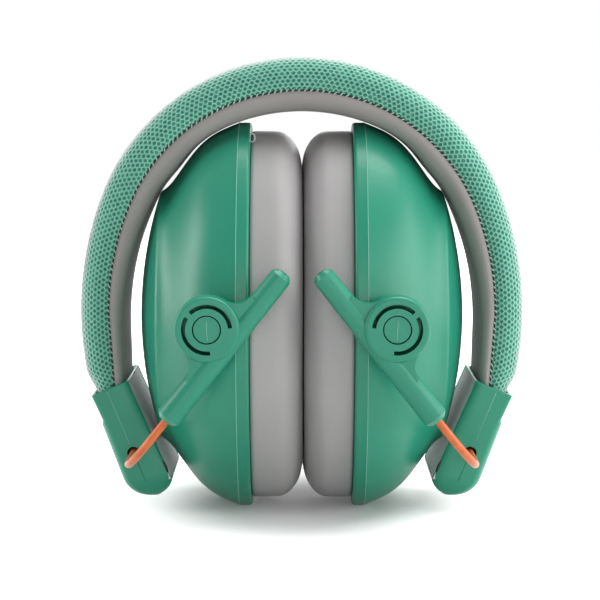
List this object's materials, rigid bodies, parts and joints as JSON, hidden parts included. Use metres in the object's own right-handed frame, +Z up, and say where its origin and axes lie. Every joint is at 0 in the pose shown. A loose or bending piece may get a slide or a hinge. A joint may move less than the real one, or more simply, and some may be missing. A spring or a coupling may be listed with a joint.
{
  "type": "folding ear defender",
  "caption": "Child's folding ear defender: padded headband with end caps, and two cushioned ear cups that swing up inside it on wire bows and clip-in arms.",
  "frame": {"origin": "on the surface it stands on, below the middle of the headband", "axes": "+X towards the wearer's ear on the picture's right, -Y towards the viewer, +Z up"},
  "size_m": [0.115, 0.094, 0.1178],
  "materials": {
    "knit_mesh": "open 3-D knit",
    "lining": "smooth knit",
    "foam": "open cell foam",
    "spring_steel": "blued",
    "shell_plastic": "satin",
    "grip_plate": "grained",
    "coated_wire": "satin",
    "cushion_skin": "soft, smooth",
    "inner_plastic": "plain"
  },
  "bodies": {
    "headband": {"headband_cover": "knit_mesh", "headband_lining": "lining", "headband_foam": "foam", "headband_spring": "spring_steel", "left_cap_outer": "shell_plastic", "left_cap_inner": "shell_plastic", "left_cap_plate": "grip_plate", "right_cap_outer": "shell_plastic", "right_cap_inner": "shell_plastic", "right_cap_plate": "grip_plate"},
    "left_wire": {"left_wire": "coated_wire"},
    "left_arms": {"left_arm_front": "shell_plastic", "left_arm_rear": "shell_plastic"},
    "left_cup": {"left_cup_shell": "shell_plastic", "left_cup_rim": "shell_plastic", "left_cup_foam": "foam", "left_cushion_cover": "cushion_skin", "left_cushion_foam": "foam", "left_cushion_ring": "inner_plastic"},
    "right_wire": {"right_wire": "coated_wire"},
    "right_arms": {"right_arm_front": "shell_plastic", "right_arm_rear": "shell_plastic"},
    "right_cup": {"right_cup_shell": "shell_plastic", "right_cup_rim": "shell_plastic", "right_cup_foam": "foam", "right_cushion_cover": "cushion_skin", "right_cushion_foam": "foam", "right_cushion_ring": "inner_plastic"}
  },
  "joints": [
    {"name": "left_fold", "type": "hinge", "parent": "headband", "child": "left_wire", "pos_m": [-0.04367, 0, 0.01574], "axis": [0, 1, 0], "range_deg": [0, 125], "deforming": ["left_cushion_cover", "left_cushion_foam"]},
    {"name": "left_reach", "type": "slide", "parent": "left_wire", "child": "left_arms", "axis": [0.6225, 0, 0.7826], "range_m": [0, 0.0097]},
    {"name": "left_cup_pivot", "type": "hinge", "parent": "left_arms", "child": "left_cup", "pos_m": [-0.02312, 0, 0.05153], "axis": [0, 1, 0], "range_deg": [-125.5, 0]},
    {"name": "right_fold", "type": "hinge", "parent": "headband", "child": "right_wire", "pos_m": [0.04367, 0, 0.01574], "axis": [0, -1, 0], "range_deg": [0, 125], "deforming": ["right_cushion_cover", "right_cushion_foam"]},
    {"name": "right_reach", "type": "slide", "parent": "right_wire", "child": "right_arms", "axis": [-0.6225, 0, 0.7826], "range_m": [0, 0.0097]},
    {"name": "right_cup_pivot", "type": "hinge", "parent": "right_arms", "child": "right_cup", "pos_m": [0.02312, 0, 0.05153], "axis": [0, -1, 0], "range_deg": [-125.5, 0]}
  ],
  "couplings": [
    {"joint": "left_reach", "follows": "left_fold", "m_per_rad": 0.0044},
    {"joint": "left_cup_pivot", "follows": "left_fold", "ratio": -1},
    {"joint": "right_reach", "follows": "right_fold", "m_per_rad": 0.0044},
    {"joint": "right_cup_pivot", "follows": "right_fold", "ratio": -1}
  ]
}
